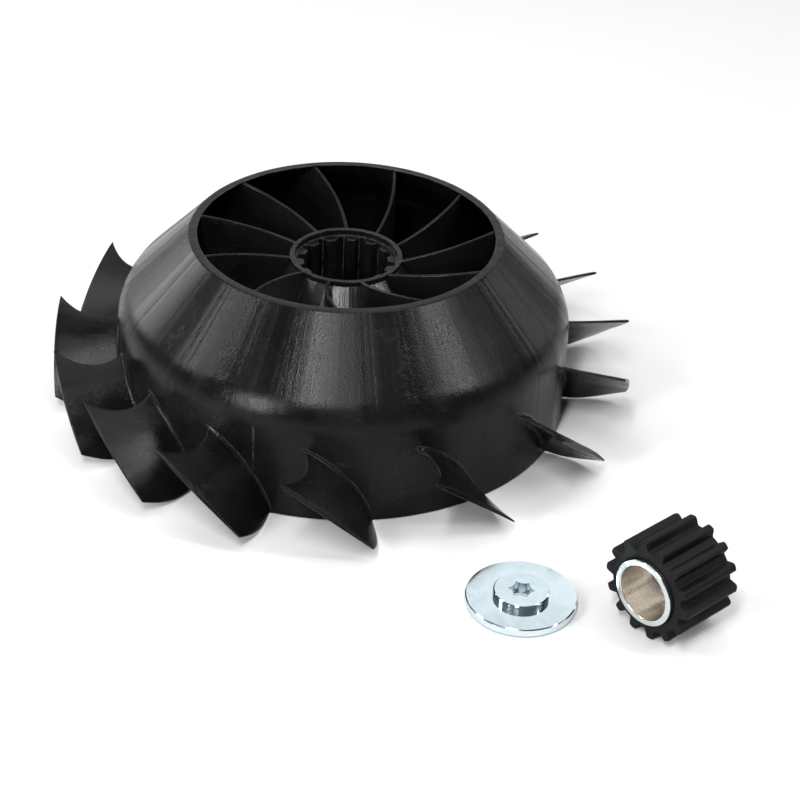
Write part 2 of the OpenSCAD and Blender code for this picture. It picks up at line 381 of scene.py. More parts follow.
class Graph:
    """A node tree that is being wired."""

    def __init__(self, tree: bpy.types.NodeTree) -> None:
        """Keeps the tree and empties it."""
        self.tree = tree
        tree.nodes.clear()

    def add(self, kind: str, **values: object) -> bpy.types.Node:
        """Adds a node and sets its sockets and properties.

        Args:
            kind: Node type, without its ShaderNode prefix.
            values: Socket or property values. An underscore stands for a space, and a
                socket value that is itself a socket is linked.

        Returns:
            The new node.
        """
        node = self.tree.nodes.new("ShaderNode" + kind)
        for key, value in values.items():
            label = key.replace("_", " ")
            if hasattr(node, key):
                setattr(node, key, value)
                continue
            by_index = key[0] == "i" and key[1:].isdigit()
            socket = node.inputs[int(key[1:]) if by_index else label]
            if isinstance(value, bpy.types.NodeSocket):
                self.tree.links.new(value, socket)
            else:
                socket.default_value = value
        return node

    def math(self, operation: str, first: object, second: object = 0.0) -> bpy.types.NodeSocket:
        """Adds a Math node and returns its output."""
        return self.add("Math", operation=operation, i0=first, i1=second).outputs[0]

    def ramp(self, value: object, low: float, high: float,
             to_low: float = 0.0, to_high: float = 1.0) -> bpy.types.NodeSocket:
        """Adds a clamped Map Range node and returns its output."""
        node = self.add("MapRange", clamp=True, interpolation_type="SMOOTHSTEP",
                        Value=value, From_Min=low, From_Max=high, To_Min=to_low, To_Max=to_high)
        return node.outputs[0]

    def blend(self, share: object, first: object, second: object) -> bpy.types.NodeSocket:
        """Adds a colour Mix node and returns its output."""
        node = self.add("Mix", data_type="RGBA")
        for index, value in ((0, share), (6, first), (7, second)):
            if isinstance(value, bpy.types.NodeSocket):
                self.tree.links.new(value, node.inputs[index])
            else:
                node.inputs[index].default_value = value
        return node.outputs[2]

    def group(self, effect: bpy.types.NodeTree, **values: object) -> bpy.types.Node:
        """Places an effect's node group and sets its named inputs."""
        node = self.tree.nodes.new("ShaderNodeGroup")
        node.node_tree = effect
        for key, value in values.items():
            socket = node.inputs[key.replace("_", " ")]
            if isinstance(value, bpy.types.NodeSocket):
                self.tree.links.new(value, socket)
            else:
                socket.default_value = value
        return node


def new_effect(name: str, inputs: dict[str, float], outputs: Sequence[str],
               ) -> tuple[Graph, bpy.types.Node, bpy.types.Node]:
    """Starts a shared effect as a node group with named number sockets.

    Args:
        name: Name of the effect.
        inputs: Name and default value of each input.
        outputs: Names of the outputs.

    Returns:
        The graph to wire, its input node and its output node.
    """
    tree = bpy.data.node_groups.new(name, "ShaderNodeTree")
    for label, value in inputs.items():
        socket = tree.interface.new_socket(label, in_out="INPUT", socket_type="NodeSocketFloat")
        socket.default_value = value
    for label in outputs:
        tree.interface.new_socket(label, in_out="OUTPUT", socket_type="NodeSocketFloat")
    graph = Graph(tree)
    source = tree.nodes.new("NodeGroupInput")
    sink = tree.nodes.new("NodeGroupOutput")
    return graph, source, sink


def make_grain() -> bpy.types.NodeTree:
    """Builds the moulded grain effect: fine pits with a broad unevenness under them."""
    graph, source, sink = new_effect(
        "moulded_grain", {"Scale": 900.0, "Patch Scale": 30.0}, ["Height", "Patches"])
    place = graph.add("TexCoord").outputs["Object"]
    fine = graph.add("TexNoise", Vector=place, Scale=source.outputs["Scale"], Detail=3.0,
                     Roughness=0.6).outputs["Fac"]
    pits = graph.add("TexVoronoi", Vector=place, Scale=source.outputs["Scale"]).outputs["Distance"]
    patches = graph.add("TexNoise", Vector=place, Scale=source.outputs["Patch Scale"], Detail=4.0,
                        Roughness=0.55, Distortion=0.6).outputs["Fac"]
    height = graph.math("ADD", graph.math("MULTIPLY", fine, 0.7), graph.math("MULTIPLY", pits, 0.5))
    graph.tree.links.new(height, sink.inputs["Height"])
    graph.tree.links.new(graph.ramp(patches, 0.32, 0.68), sink.inputs["Patches"])
    return graph.tree


def make_flow_streaks() -> bpy.types.NodeTree:
    """Builds the flow streak effect: soft upright streaks that run down a turned face."""
    graph, source, sink = new_effect(
        "flow_streaks", {"Streaks": 9.0, "Length": 14.0}, ["Height", "Mask"])
    place = graph.add("TexCoord").outputs["Object"]
    parts = graph.add("SeparateXYZ", i0=place)
    radius = graph.add("VectorMath", operation="LENGTH", i0=place).outputs["Value"]
    unit = graph.add("VectorMath", operation="NORMALIZE", i0=graph.add(
        "CombineXYZ", X=parts.outputs["X"], Y=parts.outputs["Y"]).outputs[0]).outputs[0]
    sides = graph.add("SeparateXYZ", i0=unit)
    count = source.outputs["Streaks"]
    laid = graph.add("CombineXYZ", X=graph.math("MULTIPLY", sides.outputs["X"], count),
                     Y=graph.math("MULTIPLY", sides.outputs["Y"], count),
                     Z=graph.math("MULTIPLY", radius, source.outputs["Length"])).outputs[0]
    broad = graph.add("TexNoise", Vector=laid, Scale=1.0, Detail=3.0, Roughness=0.6,
                      Distortion=0.4).outputs["Fac"]
    graph.tree.links.new(broad, sink.inputs["Height"])
    graph.tree.links.new(graph.ramp(broad, 0.36, 0.64), sink.inputs["Mask"])
    return graph.tree


def make_scratches() -> bpy.types.NodeTree:
    """Builds the scratch effect: thin lines in two directions, broken up by a soft mask."""
    graph, source, sink = new_effect(
        "fine_scratches", {"Scale": 40.0, "Amount": 0.5}, ["Mask"])
    place = graph.add("TexCoord").outputs["Object"]
    masks = []
    for turn, squeeze in ((0.35, 14.0), (-0.9, 19.0)):
        laid = graph.add("Mapping", Vector=place, Rotation=(0.5 * turn, 0.3, turn),
                         Scale=(1.0, squeeze, squeeze * 0.6)).outputs[0]
        lines = graph.add("TexNoise", Vector=laid, Scale=source.outputs["Scale"], Detail=2.0,
                          Roughness=0.7).outputs["Fac"]
        masks.append(graph.ramp(graph.math("ABSOLUTE", graph.math("SUBTRACT", lines, 0.5)),
                                0.0, 0.008, 1.0, 0.0))
    both = graph.math("MAXIMUM", masks[0], masks[1])
    broken = graph.add("TexNoise", Vector=place, Scale=55.0, Detail=3.0).outputs["Fac"]
    where = graph.ramp(broken, 0.52, 0.66)
    kept = graph.math("MULTIPLY", graph.math("MULTIPLY", both, where), source.outputs["Amount"])
    graph.tree.links.new(kept, sink.inputs["Mask"])
    return graph.tree


def make_edge_wear_and_highlight() -> bpy.types.NodeTree:
    """Builds the edge effect: a broken mask along the convex and concave edges, standing partly for edge
    wear and partly for a painted edge highlight.
    """
    graph, source, sink = new_effect(
        "edge_wear_and_highlight", {"Width": 0.0008, "Amount": 0.6, "Break Scale": 160.0}, ["Mask"])
    wide = graph.add("Bevel", samples=6, Radius=source.outputs["Width"]).outputs[0]
    true = graph.add("NewGeometry").outputs["Normal"]
    same = graph.add("VectorMath", operation="DOT_PRODUCT", i0=wide, i1=true).outputs["Value"]
    edge = graph.ramp(same, 0.995, 0.90)
    place = graph.add("TexCoord").outputs["Object"]
    broken = graph.add("TexNoise", Vector=place, Scale=source.outputs["Break Scale"], Detail=4.0,
                       Roughness=0.65).outputs["Fac"]
    worn_and_highlit = graph.math("MULTIPLY", edge, graph.ramp(broken, 0.38, 0.6))
    graph.tree.links.new(graph.math("MULTIPLY", worn_and_highlit, source.outputs["Amount"]),
                         sink.inputs["Mask"])
    return graph.tree


def make_dust() -> bpy.types.NodeTree:
    """Builds the dust effect: specks and a thin film that settle on what faces up."""
    graph, source, sink = new_effect(
        "settled_dust", {"Scale": 380.0, "Amount": 0.3}, ["Mask"])
    place = graph.add("TexCoord").outputs["Object"]
    normal = graph.add("NewGeometry").outputs["Normal"]
    upward = graph.ramp(graph.add("SeparateXYZ", i0=normal).outputs["Z"], 0.1, 0.9, 0.15, 1.0)
    specks = graph.add("TexNoise", Vector=place, Scale=source.outputs["Scale"], Detail=5.0,
                       Roughness=0.75).outputs["Fac"]
    film = graph.add("TexNoise", Vector=place, Scale=24.0, Detail=3.0).outputs["Fac"]
    mask = graph.math("MULTIPLY", graph.ramp(specks, 0.56, 0.70), graph.ramp(film, 0.35, 0.65))
    kept = graph.math("MULTIPLY", graph.math("MULTIPLY", mask, upward), source.outputs["Amount"])
    graph.tree.links.new(kept, sink.inputs["Mask"])
    return graph.tree


@dataclass
class Effects:
    """The shared shader effects, each built once."""

    grain: bpy.types.NodeTree = field(default_factory=make_grain)
    streaks: bpy.types.NodeTree = field(default_factory=make_flow_streaks)
    scratches: bpy.types.NodeTree = field(default_factory=make_scratches)
    edge_wear_and_highlight: bpy.types.NodeTree = field(default_factory=make_edge_wear_and_highlight)
    dust: bpy.types.NodeTree = field(default_factory=make_dust)


Colour = tuple[float, float, float, float]


@dataclass(frozen=True)
class MouldedPlastic:
    """Near-black moulded plastic with a satin skin, soft flow streaks and pale edges: partly rubbed
    wear, partly a painted edge highlight.
    """

    name: str = "moulded_plastic"
    base: Colour = (0.0030, 0.0032, 0.0032, 1.0)
    # Pale tone of the scratches and of the edges; on the edges it is partly wear and partly a painted
    # edge highlight.
    worn_and_highlit: Colour = (0.085, 0.086, 0.086, 1.0)
    dusty: Colour = (0.11, 0.11, 0.105, 1.0)
    specular: float = 0.12
    rough_low: float = 0.09
    rough_high: float = 0.28

    def material(self, effects: Effects) -> bpy.types.Material:
        """Builds the material from the shared effects."""
        made = bpy.data.materials.new(self.name)
        made.use_nodes = True
        graph = Graph(made.node_tree)
        grain = graph.group(effects.grain, Scale=1550.0, Patch_Scale=26.0)
        streaks = graph.group(effects.streaks, Streaks=6.5, Length=9.0)
        lines = graph.group(effects.scratches, Scale=22.0, Amount=0.16)
        rub_and_highlight = graph.group(effects.edge_wear_and_highlight, Width=0.0006, Amount=0.8, Break_Scale=140.0)
        dust = graph.group(effects.dust, Scale=520.0, Amount=0.12)
        tone = graph.blend(grain.outputs["Patches"], self.base, tuple(1.8 * c for c in self.base))
        tone = graph.blend(lines.outputs["Mask"], tone, self.worn_and_highlit)
        tone = graph.blend(dust.outputs["Mask"], tone, self.dusty)
        # Paints the pale tone along the edges: partly rubbed wear, partly a painted edge highlight.
        tone = graph.blend(rub_and_highlight.outputs["Mask"], tone, self.worn_and_highlit)
        rough = graph.ramp(streaks.outputs["Mask"], 0.0, 1.0, self.rough_low, self.rough_high)
        rough = graph.math("ADD", rough, graph.math("MULTIPLY", grain.outputs["Patches"], 0.05))
        rough = graph.math("ADD", rough, graph.math("MULTIPLY", dust.outputs["Mask"], 0.4))
        dent = graph.math("SUBTRACT", grain.outputs["Height"],
                          graph.math("MULTIPLY", lines.outputs["Mask"], 0.8))
        wave = graph.add("Bump", Strength=0.45, Distance=0.0011,
                         Height=streaks.outputs["Height"]).outputs[0]
        bump = graph.add("Bump", Strength=0.55, Distance=0.00018, Height=dent,
                         Normal=wave).outputs[0]
        skin = graph.add("BsdfPrincipled", Base_Color=tone, Roughness=rough, Normal=bump,
                         Specular_IOR_Level=self.specular)
        graph.add("OutputMaterial", Surface=skin.outputs[0])
        return made


@dataclass(frozen=True)
class MattRubber:
    """Matt black rubber with a dry bloom."""

    base: Colour = (0.0030, 0.0031, 0.0031, 1.0)
    bloom: Colour = (0.014, 0.0145, 0.0142, 1.0)

    def material(self, effects: Effects) -> bpy.types.Material:
        """Builds the material from the shared effects."""
        made = bpy.data.materials.new("matt_rubber")
        made.use_nodes = True
        graph = Graph(made.node_tree)
        grain = graph.group(effects.grain, Scale=1100.0, Patch_Scale=70.0)
        rub_and_highlight = graph.group(effects.edge_wear_and_highlight, Width=0.0006, Amount=0.45, Break_Scale=300.0)
        dust = graph.group(effects.dust, Scale=600.0, Amount=0.15)
        tone = graph.blend(grain.outputs["Patches"], self.base, tuple(1.8 * c for c in self.base))
        tone = graph.blend(rub_and_highlight.outputs["Mask"], tone, self.bloom)
        tone = graph.blend(dust.outputs["Mask"], tone, self.bloom)
        rough = graph.ramp(grain.outputs["Patches"], 0.0, 1.0, 0.46, 0.62)
        bump = graph.add("Bump", Strength=0.35, Distance=0.00015,
                         Height=grain.outputs["Height"]).outputs[0]
        skin = graph.add("BsdfPrincipled", Base_Color=tone, Roughness=rough, Normal=bump,
                         Specular_IOR_Level=0.12)
        graph.add("OutputMaterial", Surface=skin.outputs[0])
        return made


@dataclass(frozen=True)
class PlatedSteel:
    """Bright metal with turning rings about its own axis, fine scratches and a few stains."""

    name: str
    base: Colour
    stain: Colour
    rough_low: float
    rough_high: float
    centre: Point = (0.0, 0.0, 0.0)
    axis_turn: Point = (0.0, 0.0, 0.0)
    ring_scale: float = 2600.0

    def material(self, effects: Effects) -> bpy.types.Material:
        """Builds the material, with its turning rings about the piece's own axis."""
        made = bpy.data.materials.new(self.name)
        made.use_nodes = True
        graph = Graph(made.node_tree)
        place = graph.add("TexCoord").outputs["Object"]
        local = graph.add("Mapping", vector_type="TEXTURE", Vector=place, Location=self.centre,
                          Rotation=self.axis_turn).outputs[0]
        parts = graph.add("SeparateXYZ", i0=local)
        radius = graph.math("SQRT", graph.math(
            "ADD", graph.math("POWER", parts.outputs["X"], 2.0),
            graph.math("POWER", parts.outputs["Y"], 2.0)))
        line = graph.math("MULTIPLY", graph.math("ADD", radius, parts.outputs["Z"]), self.ring_scale)
        rings = graph.add("TexNoise", noise_dimensions="1D", W=line, Scale=1.0, Detail=2.0,
                          Roughness=0.6).outputs["Fac"]
        lines = graph.group(effects.scratches, Scale=60.0, Amount=0.8)
        grain = graph.group(effects.grain, Scale=900.0, Patch_Scale=90.0)
        rub_and_highlight = graph.group(effects.edge_wear_and_highlight, Width=0.0004, Amount=0.5, Break_Scale=400.0)
        tone = graph.blend(graph.math("MULTIPLY", grain.outputs["Patches"], 0.35),
                           self.base, self.stain)
        tone = graph.blend(lines.outputs["Mask"], tone, self.stain)
        tone = graph.blend(rub_and_highlight.outputs["Mask"], tone, (0.93, 0.94, 0.95, 1.0))
        rough = graph.ramp(rings, 0.3, 0.7, self.rough_low, self.rough_high)
        rough = graph.math("ADD", rough, graph.math("MULTIPLY", lines.outputs["Mask"], 0.18))
        height = graph.math("SUBTRACT", graph.math("MULTIPLY", rings, 0.6),
                            graph.math("MULTIPLY", lines.outputs["Mask"], 0.6))
        bump = graph.add("Bump", Strength=0.05, Distance=0.00002, Height=height).outputs[0]
        skin = graph.add("BsdfPrincipled", Base_Color=tone, Metallic=1.0, Roughness=rough,
                         Normal=bump)
        graph.add("OutputMaterial", Surface=skin.outputs[0])
        return made


def dress(piece: bpy.types.Object, material: bpy.types.Material) -> None:
    """Gives a piece one material all over."""
    piece.data.materials.clear()
    piece.data.materials.append(material)
    for face in piece.data.polygons:
        face.material_index = 0


# ---------------------------------------------------------------- the wheel


@dataclass
class WheelSizes:
    """Sizes of the wheel's section that its parts share. Heights are above the floor."""

    height: float
    skirt_r: float
    hub_r: float
    hub_top: float
    rim_r: float = 75.0 * MM
    slope: float = math.radians(45.7)
    shoulder_r: float = 23.0 * MM
    wall: float = 3.0 * MM
    cone_top: float = 75.5 * MM
    cone_slope: float = math.radians(51.0)
    cone_wall: float = 3.0 * MM
    cone_foot: float = 5.0 * MM

    @classmethod
    def from_frame(cls) -> "WheelSizes":
        """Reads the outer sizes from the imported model's boxes."""
        shell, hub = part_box("shroud")[1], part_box("hub")[1]
        return cls(height=shell[2], skirt_r=shell[0], hub_r=hub[0], hub_top=hub[2])

    @property
    def shoulder_z(self) -> float:
        """Height of the shoulder's centre."""
        corner = self.height - (self.skirt_r - self.rim_r) * math.tan(self.slope)
        return corner - self.shoulder_r * math.tan((math.pi / 2 - self.slope) / 2)

    @property
    def bore_r(self) -> float:
        """Radius of the rim's bore."""
        return self.rim_r - self.wall / math.sin(self.slope)

    def shell_line(self, depth: float, steps: int = 14) -> list[tuple[float, float]]:
        """Returns the shell's section at a depth below its outer face, from rim to shoulder."""
        line = [(self.rim_r - depth / math.sin(self.slope), self.height)]
        for index in range(steps + 1):
            lean = mix(math.pi / 2 - self.slope, 0.0, index / steps)
            line.append((self.skirt_r - self.shoulder_r + (self.shoulder_r - depth) * math.cos(lean),
                         self.shoulder_z + (self.shoulder_r - depth) * math.sin(lean)))
        return line

    def shell_under(self, r: float) -> float:
        """Returns the height of the shell's inner face at a radius."""
        reach = self.shoulder_r - self.wall
        centre = self.skirt_r - self.shoulder_r
        if r <= centre + reach * math.cos(math.pi / 2 - self.slope):
            return self.height - (r - self.bore_r) * math.tan(self.slope)
        return self.shoulder_z + math.sqrt(max(0.0, reach ** 2 - (r - centre) ** 2))

    def cone_face(self, r: float) -> float:
        """Returns the height of the inner cone's upper face at a radius."""
        return self.cone_top - (r - self.hub_r) * math.tan(self.cone_slope)


@dataclass
class Shroud:
    """The shell: rim, sloping wall, shoulder and skirt, with the mould's parting lines."""

    sizes: WheelSizes
    edge: float = 0.7 * MM
    seam_width: float = 0.5 * MM
    seam_proud: float = 0.14 * MM
    seam_foot: float = 1.5 * MM
    seam_bearings: tuple[float, ...] = (math.radians(-109.0), math.radians(71.0))

    def build(self) -> bpy.types.Object:
        """Turns the shell and lays the parting seams on its skirt."""
        sizes = self.sizes
        outer = sizes.shell_line(0.0) + [(sizes.skirt_r, 0.0)]
        inner = sizes.shell_line(sizes.wall) + [(sizes.skirt_r - sizes.wall, 0.0)]
        shell = turned("shell", outer + inner[::-1], steps=256)
        round_edges(shell, self.edge)
        seams = [self.seam(turn) for turn in self.seam_bearings]
        shell = joined([shell] + seams, "shell")
        smooth(shell)
        return shell

    def seam(self, turn: float) -> bpy.types.Object:
        """Models one upright parting seam on the skirt, at an azimuth."""
        top = self.sizes.shoulder_z
        low = self.seam_foot
        deselect()
        bpy.ops.mesh.primitive_cube_add(
            size=1.0, location=(self.sizes.skirt_r, 0.0, (top + low) / 2),
            scale=(2 * self.seam_proud, self.seam_width, top - low))
        piece = named("seam")
        settle(piece)
        round_edges(piece, 0.6 * self.seam_proud, 2)
        piece.rotation_euler = (0.0, 0.0, turn)
        settle(piece)
        return piece


@dataclass
class Hub:
    """The hub: a tube with a washer recess on top, spline teeth inside and a plain tail."""

    sizes: WheelSizes
    recess_r: float = 24.75 * MM
    recess_depth: float = 3.0 * MM
    groove_r: float = 23.95 * MM
    tip_r: float = 20.05 * MM
    teeth: int = 14
    first_groove: float = math.radians(-4.0)
    tooth_len: float = 32.0 * MM
    tooth_wall_w: float = 8.3 * MM
    tooth_tip_w: float = 3.8 * MM
    ledge_r: float = 16.75 * MM
    ledge_t: float = 3.0 * MM
    tooth_edge: float = 0.45 * MM
    tooth_sunk: float = 0.6 * MM
    tube_edge: float = 0.35 * MM

    def build(self) -> bpy.types.Object:
        """Turns the tube and sets the teeth round its socket."""
        top = self.sizes.hub_top
        seat = top - self.recess_depth
        ledge = seat - self.tooth_len
        tail = ledge - self.ledge_t
        outline = [(self.sizes.hub_r, 0.0), (self.sizes.hub_r, top), (self.recess_r, top),
                   (self.recess_r, seat), (self.groove_r, seat), (self.groove_r, ledge),
                   (self.ledge_r, ledge), (self.ledge_r, tail), (self.groove_r, tail),
                   (self.groove_r, 0.0)]
        tube = turned("hub_tube", outline, steps=160)
        round_edges(tube, self.tube_edge, 2)
        first = self.tooth(seat)
        pitch = FULL_TURN / self.teeth
        turns = [self.first_groove + pitch * (index + 0.5) for index in range(self.teeth)]
        teeth = [copy_turned(first, "tooth", turn) for turn in turns]
        bpy.data.objects.remove(first, do_unlink=True)
        hub = joined([tube] + teeth, "hub_socket")
        smooth(hub)
        return hub

    def tooth(self, seat: float) -> bpy.types.Object:
        """Models one spline tooth on the +X side: a block that narrows towards the axis."""
        depth = self.groove_r + self.tooth_sunk - self.tip_r
        deselect()
        bpy.ops.mesh.primitive_cube_add(
            size=1.0, location=(self.tip_r + depth / 2, 0.0, seat - self.tooth_len / 2),
            scale=(depth, self.tooth_wall_w, self.tooth_len))
        piece = named("tooth")
        settle(piece)
        for face in piece.data.polygons:
            face.select = face.normal.x < -0.5
        for edge in piece.data.edges:
            edge.select = all(piece.data.vertices[i].co.x < self.tip_r + MM for i in edge.vertices)
        for vertex in piece.data.vertices:
            vertex.select = vertex.co.x < self.tip_r + MM
        bpy.ops.object.mode_set(mode="EDIT")
        bpy.ops.transform.resize(value=(1.0, self.tooth_tip_w / self.tooth_wall_w, 1.0),
                                 center_override=(self.tip_r, 0.0, seat))
        bpy.ops.object.mode_set(mode="OBJECT")
        round_edges(piece, self.tooth_edge, 3)
        return piece


@dataclass
class InnerCone:
    """The inner cone that turns the air outwards between the hub and the outlet."""

    sizes: WheelSizes
    edge: float = 0.6 * MM
    tuck: float = 0.4 * MM

    def build(self) -> bpy.types.Object:
        """Turns the cone."""
        sizes = self.sizes
        inner = sizes.hub_r - self.tuck
        run = sizes.cone_wall / math.sin(sizes.cone_slope)
        drop = sizes.cone_wall / math.cos(sizes.cone_slope)
        foot_r = sizes.hub_r + (sizes.cone_top - sizes.cone_foot) / math.tan(sizes.cone_slope)
        outline = [(inner, sizes.cone_top), (sizes.hub_r, sizes.cone_top),
                   (foot_r, sizes.cone_foot), (foot_r - run, sizes.cone_foot),
                   (inner, sizes.cone_top - drop)]
        cone = turned("inner_cone_skin", outline, steps=224)
        round_edges(cone, self.edge, 3, math.radians(40))
        return cone


@dataclass
class InnerVanes:
    """The upright vanes between hub, inner cone and shell, each swept as a spiral."""

    sizes: WheelSizes
    count: int = 11
    sweep: float = math.radians(13.5)
    hub_t: float = 1.9 * MM
    shell_t: float = 1.5 * MM
    rim_drop: float = 0.4 * MM
    foot: float = 8.0 * MM
    tuck: float = 0.5 * MM
    rings: int = 56
    side_points: int = 22
    crown_points: int = 7

    def turn_at(self, r: float) -> float:
        """Returns the azimuth of the vane's middle at a radius, from its hub end."""
        return self.sweep * (r - self.sizes.hub_r) / (self.sizes.bore_r - self.sizes.hub_r)

    def top_at(self, r: float) -> float:
        """Returns the height of the vane's top edge at a radius."""
        sizes = self.sizes
        rise = (sizes.height - self.rim_drop - sizes.hub_top) / (sizes.bore_r - sizes.hub_r)
        free = sizes.hub_top + (r - sizes.hub_r) * rise
        return min(free, sizes.shell_under(r) + self.tuck)

    def foot_at(self, r: float) -> float:
        """Returns the height of the vane's lower edge at a radius."""
        return max(self.foot, self.sizes.cone_face(r) - self.tuck)

    def place(self, step: int, ring: int) -> Point:
        """Places a point of the skin: up one side, over the rounded crown, down the other."""
        sizes = self.sizes
        reach = sizes.skirt_r - sizes.wall + self.tuck
        r = mix(sizes.hub_r - self.tuck, reach, (ring / (self.rings - 1)) ** 0.9)
        out = clamp01((r - sizes.hub_r) / (sizes.skirt_r - sizes.hub_r))
        half = mix(self.hub_t, self.shell_t, out) / 2
        low, high = self.foot_at(r), self.top_at(r)
        sides = self.side_points
        crown = self.crown_points
        if step < sides:
            across, z = half, mix(low + half, high - half, step / (sides - 1))
        elif step < sides + crown:
            lean = math.pi * (step - sides + 1) / (crown + 1)
            across, z = half * math.cos(lean), high - half + half * math.sin(lean)
        elif step < 2 * sides + crown:
            across, z = -half, mix(high - half, low + half, (step - sides - crown) / (sides - 1))
        else:
            lean = math.pi * (step - 2 * sides - crown + 1) / (crown + 1)
            across, z = -half * math.cos(lean), low + half - half * math.sin(lean)
        turn = self.turn_at(r)
        twist = turn + math.atan(r * self.sweep / (sizes.bore_r - sizes.hub_r))
        return (r * math.cos(turn) - across * math.sin(twist),
                r * math.sin(turn) + across * math.cos(twist), z)

    def build(self) -> list[bpy.types.Object]:
        """Models one vane and copies it to the azimuth of each of its nodes."""
        around = 2 * (self.side_points + self.crown_points)
        first = wrapped("vane", around, self.rings, self.place)
        return row_of(first, "vane", "inner_vane", self.count)


@dataclass
class OuterBlades:
    """The outer blades: curled scoops on the skirt, fullest near their first third."""

    sizes: WheelSizes
    count: int = 15
    span: float = 31.9 * MM
    root_top: float = 36.9 * MM
    root_foot: float = 1.0 * MM
    tip_top: float = 40.0 * MM
    tip_foot: float = 7.5 * MM
    root_wrap: float = math.radians(16.6)
    tip_wrap: float = math.radians(17.2)
    lead: float = math.radians(1.9)
    root_curl: float = math.radians(40.0)
    tip_curl: float = math.radians(10.0)
    top_hollow: float = 6.4 * MM
    foot_bulge: float = 3.2 * MM
    thickness: float = 2.6 * MM
    edge_t: float = 0.9 * MM
    fillet: float = 1.6 * MM
    end_round: float = 0.45 * MM
    floor_gap: float = 0.25 * MM
    tuck: float = 0.6 * MM
    chord_points: int = 30
    span_rings: int = 26

    def ring_shares(self) -> list[float]:
        """Returns the shares of the span at which rings lie, closer at root and tip."""
        inward = -self.tuck / self.span
        near = [inward, 0.0] + [self.fillet / self.span * share for share in (0.15, 0.35, 0.65, 1.0)]
        near_end = 1.0 - self.end_round / self.span
        plain = self.span_rings - len(near) - 4
        middle = [mix(near[-1], near_end, (index + 1) / (plain + 1)) for index in range(plain)]
        ends = [mix(near_end, 1.0, share) for share in (0.0, 0.5, 0.85, 1.0)]
        return near + middle + ends

    def flare(self, u: float) -> float:
        """Returns how far the root fillet stands out at a share of the span."""
        out = self.fillet - max(0.0, u) * self.span
        if out <= 0.0:
            return 0.0
        return self.fillet - math.sqrt(max(0.0, self.fillet ** 2 - out ** 2))

    def half_thickness(self, s: float, u: float) -> float:
        """Returns half the thickness at a share of the chord, rounded at both edges."""
        body = (self.edge_t + (self.thickness - self.edge_t) * math.sin(math.pi * s ** 0.7)) / 2
        nose = clamp01(min(s, 1.0 - s) / 0.022)
        body *= math.sqrt(max(0.0, 1.0 - (1.0 - nose) ** 2))
        inset = clamp01((u - 1.0) * self.span / self.end_round + 1.0)
        body *= mix(1.0, 0.55, 1.0 - math.sqrt(1.0 - inset ** 2)) if inset > 0.0 else 1.0
        return body

    def mean_point(self, u: float, s: float) -> tuple[float, float, float, float]:
        """Returns radius, run round the skirt, height and slope of the blade's mean surface."""
        r = self.sizes.skirt_r + self.span * u
        held = clamp01(u)
        rise = mix(self.root_top - self.root_foot, self.tip_top - self.tip_foot, held)
        run = mix(self.root_wrap, self.tip_wrap, held) * mix(
            self.sizes.skirt_r, self.sizes.skirt_r + self.span, held)
        chord = math.hypot(rise, run)
        curl = mix(self.root_curl, self.tip_curl, held)
        start = math.atan2(rise, run) - curl / 2
        bow = mix(self.top_hollow, self.foot_bulge, s) * 4.0 * held * (1.0 - held)
        t = s + bow / chord
        t += self.flare(u) / chord * (2.0 * s - 1.0)
        scale = chord / (2.0 * math.sin(curl / 2))
        along = (math.sin(start + curl * t) - math.sin(start)) * scale
        fall = (math.cos(start) - math.cos(start + curl * t)) * scale
        height = mix(self.root_top, self.tip_top, held) - fall
        return r, along, height, start + curl * t

    def place(self, step: int, ring: int) -> Point:
        """Places a point of the skin: down the upper side and back up the lower side."""
        u = self.ring_shares()[ring]
        half_way = self.chord_points
        share = step / half_way if step <= half_way else (2 * half_way - step) / half_way
        side = 1.0 if step <= half_way else -1.0
        s = (1.0 - math.cos(math.pi * share)) / 2
        r, along, height, slope = self.mean_point(u, s)
        half = self.half_thickness(s, u)
        if 0 < step % half_way:
            half += self.flare(u) * math.sin(math.pi * s) ** 0.3
        run = along + side * half * math.sin(slope)
        turn = self.lead * (1.0 - clamp01(u)) + run / r
        z = max(self.floor_gap, height + side * half * math.cos(slope))
        return (r * math.cos(turn), r * math.sin(turn), z)

    def build(self) -> list[bpy.types.Object]:
        """Models one blade and copies it to the azimuth of each of its nodes."""
        first = wrapped("blade", 2 * self.chord_points, len(self.ring_shares()), self.place)
        return row_of(first, "blade", "outer_blade", self.count)


@dataclass
class FanWheel:
    """The whole moulded wheel, made of its features in order from hub to blades."""

    sizes: WheelSizes

    def build(self, effects: Effects) -> None:
        """Builds every feature of the wheel and dresses it in the moulded plastic."""
        plastic = MouldedPlastic().material(effects)
        polished = MouldedPlastic(name="polished_plastic", specular=0.30, rough_low=0.14,
                                  rough_high=0.20).material(effects)
        single = (("shroud", Shroud(self.sizes).build(), plastic),
                  ("hub", Hub(self.sizes).build(), plastic),
                  ("inner_cone", InnerCone(self.sizes).build(), polished))
        for node, piece, finish in single:
            dress(piece, finish)
            in_body(piece, Body.WHEEL, Slot.PLASTIC, node)
        rows = (("inner_vane", InnerVanes(self.sizes).build()),
                ("outer_blade", OuterBlades(self.sizes).build()))
        for stem, pieces in rows:
            for index, piece in enumerate(pieces):
                dress(piece, plastic)
                in_body(piece, Body.WHEEL, Slot.PLASTIC, f"{stem}_{index + 1:02d}")


# ---------------------------------------------------------------- washer and bush


